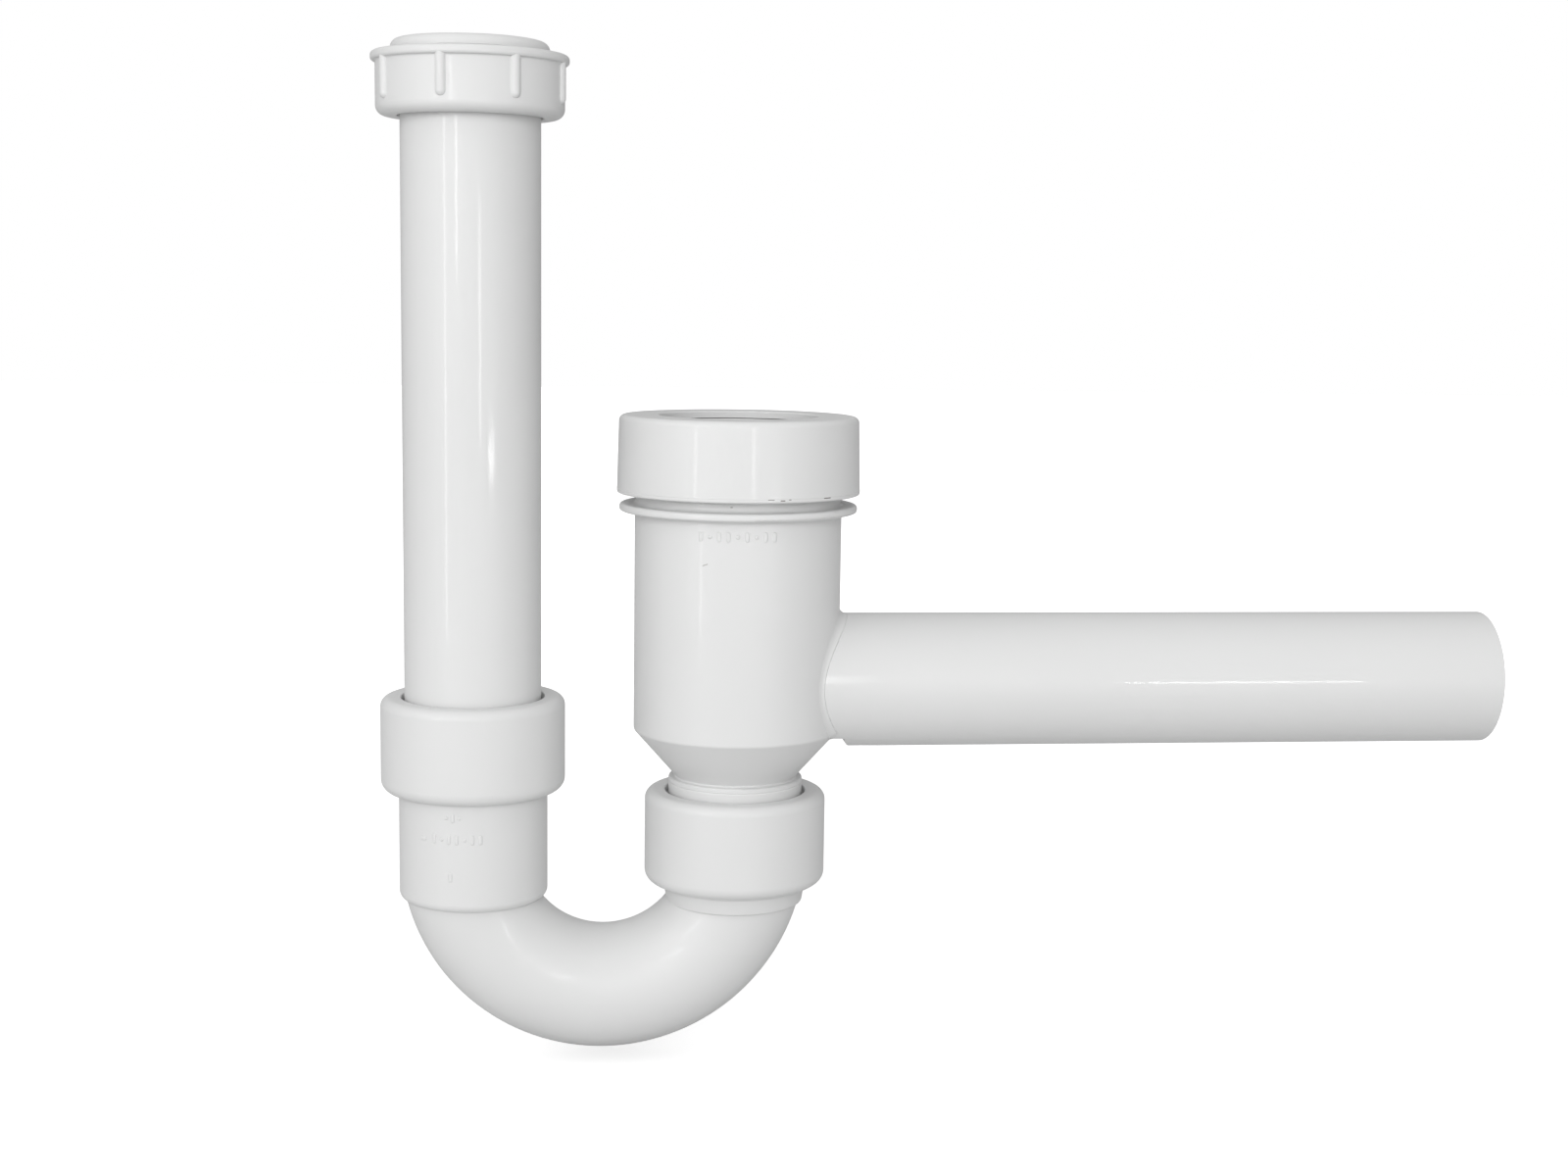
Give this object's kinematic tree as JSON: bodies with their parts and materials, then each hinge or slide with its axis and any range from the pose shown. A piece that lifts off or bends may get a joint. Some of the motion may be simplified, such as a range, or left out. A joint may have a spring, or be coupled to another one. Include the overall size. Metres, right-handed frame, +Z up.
{
  "type": "p-trap",
  "caption": "P-trap for waste pipe: union-nut inlet tube sliding in a swivelling U-bend, and an upright chamber with a capped top socket and a long horizontal outlet pipe.",
  "frame": {"origin": "centre of the outlet pipe's open end face", "axes": "+X out of the outlet pipe along its axis, +Z up along the inlet tube and the chamber, +Y completes the right-handed set"},
  "size_m": [0.4213, 0.0896, 0.3697],
  "materials": {
    "white_plastic": "satin white moulded polypropylene",
    "pipe_plastic": "semi-gloss white extruded polypropylene",
    "cap_plastic": "satin white moulded polypropylene",
    "gasket_plastic": "smooth white polyethylene",
    "ring_plastic": "satin white moulded polypropylene",
    "seal_rubber": "smooth black rubber"
  },
  "bodies": {
    "chamber": {"trap_body": "white_plastic", "outlet_pipe": "pipe_plastic", "top_lip_seal": "seal_rubber", "top_support_ring": "ring_plastic"},
    "top_cap": {"top_retaining_cap": "cap_plastic"},
    "bend": {"u_bend": "white_plastic", "riser_lip_seal": "seal_rubber", "riser_support_ring": "ring_plastic", "inlet_lip_seal": "seal_rubber", "inlet_support_ring": "ring_plastic"},
    "riser_cap": {"riser_retaining_cap": "cap_plastic"},
    "inlet_cap": {"inlet_retaining_cap": "cap_plastic"},
    "inlet": {"inlet_tube": "pipe_plastic", "inlet_gasket": "gasket_plastic"},
    "slip": {"slip_ring": "ring_plastic"},
    "nut": {"union_nut": "cap_plastic"}
  },
  "joints": [
    {"name": "top_cap_turn", "type": "hinge", "parent": "chamber", "child": "top_cap", "pos_m": [-0.2888, 0, 0.0843], "axis": [0, 0, 1], "continuous": true},
    {"name": "bend_swivel", "type": "hinge", "parent": "chamber", "child": "bend", "pos_m": [-0.2888, 0, -0.0584], "axis": [0, 0, 1], "range_deg": [-140, 140]},
    {"name": "riser_cap_turn", "type": "hinge", "parent": "bend", "child": "riser_cap", "pos_m": [-0.2888, 0, -0.06], "axis": [0, 0, 1], "continuous": true},
    {"name": "inlet_cap_turn", "type": "hinge", "parent": "bend", "child": "inlet_cap", "pos_m": [-0.3862, 0, -0.0244], "axis": [0, 0, 1], "continuous": true},
    {"name": "inlet_slide", "type": "slide", "parent": "bend", "child": "inlet", "axis": [0, 0, 1], "range_m": [-0.021, 0.02]},
    {"name": "nut_slide", "type": "slide", "parent": "inlet", "child": "slip", "axis": [0, 0, 1], "range_m": [-0.185, 0.0154]},
    {"name": "nut_turn", "type": "hinge", "parent": "slip", "child": "nut", "pos_m": [-0.3862, 0, 0.2155], "axis": [0, 0, 1], "continuous": true}
  ]
}
